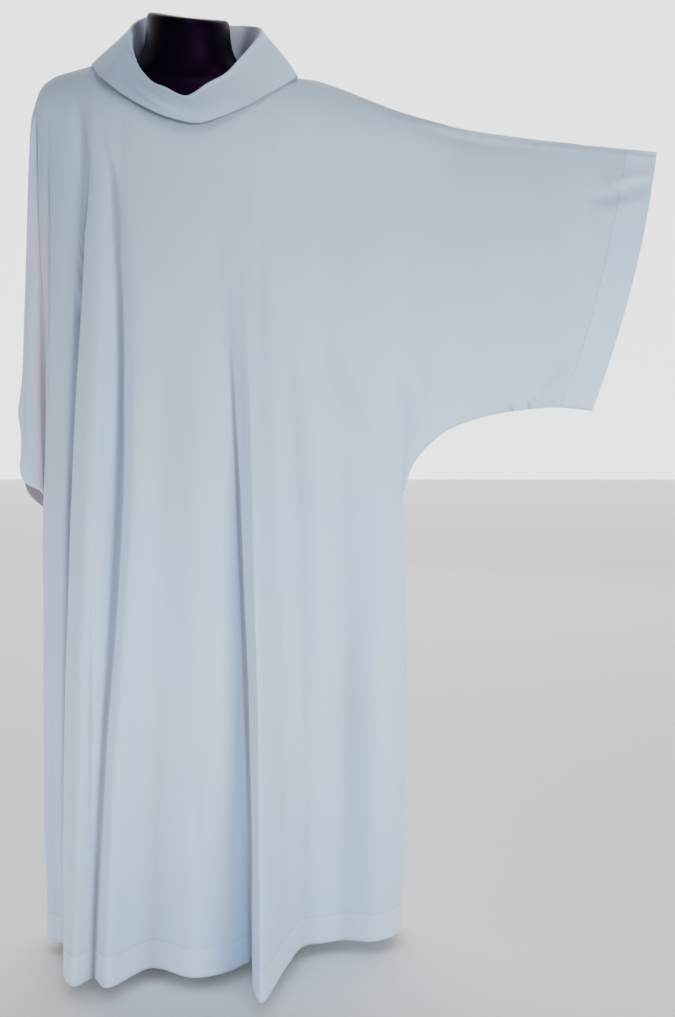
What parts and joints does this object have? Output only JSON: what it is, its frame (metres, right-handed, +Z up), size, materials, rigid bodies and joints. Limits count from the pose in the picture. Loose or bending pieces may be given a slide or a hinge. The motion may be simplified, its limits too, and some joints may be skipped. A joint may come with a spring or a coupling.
{
  "type": "alb on a dress form",
  "caption": "Full-length plain white alb with wide sleeves and a turned-over roll collar, worn by a dark limbless dress form with one sleeve held out to the side",
  "frame": {"origin": "centre of the underside of the base, on the axis of the pole", "axes": "+Z up, -Y the front of the garment, +X the wearer's left, along the held-out sleeve"},
  "size_m": [1.0447, 0.4365, 1.5683],
  "materials": {
    "white_cloth": "plain smooth white polyester weave with a faint cool sheen",
    "form_cover": "near-black smooth form with a soft purple-tinted gloss",
    "stand_metal": "dark satin paint"
  },
  "bodies": {
    "root": {"front_panel": "white_cloth", "back_panel": "white_cloth", "collar": "white_cloth", "dress_form": "form_cover", "pole": "stand_metal", "base": "stand_metal"}
  },
  "joints": []
}
